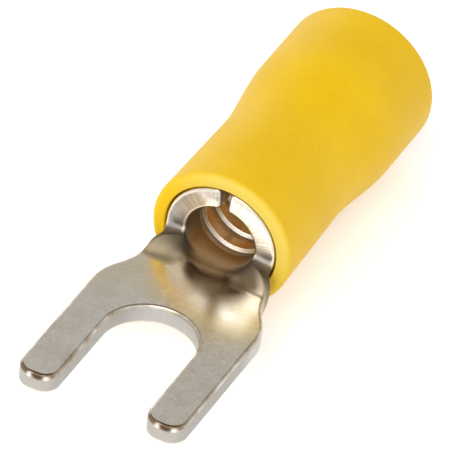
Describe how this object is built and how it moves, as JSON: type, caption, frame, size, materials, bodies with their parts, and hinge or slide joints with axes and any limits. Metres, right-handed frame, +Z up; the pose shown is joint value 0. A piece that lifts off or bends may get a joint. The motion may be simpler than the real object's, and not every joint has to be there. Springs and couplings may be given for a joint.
{
  "type": "insulated fork terminal",
  "caption": "Fork crimp terminal for a wire: a flat U-slotted tongue on a rolled, serrated barrel, with a plastic sleeve that flares to the wire entry.",
  "frame": {"origin": "on the surface that the terminal lies on, under the middle of its length and width", "axes": "+Y along the barrel towards the wire entry, the fork points to -Y, +X across the fork, +Z up out of the fork's face on the seam side"},
  "size_m": [0.0082, 0.0264, 0.0076],
  "materials": {
    "tinned_copper": "satin tin plate",
    "yellow_plastic": "satin moulded PVC"
  },
  "bodies": {
    "root": {"fork_terminal": "tinned_copper", "insulating_sleeve": "yellow_plastic"}
  },
  "joints": []
}
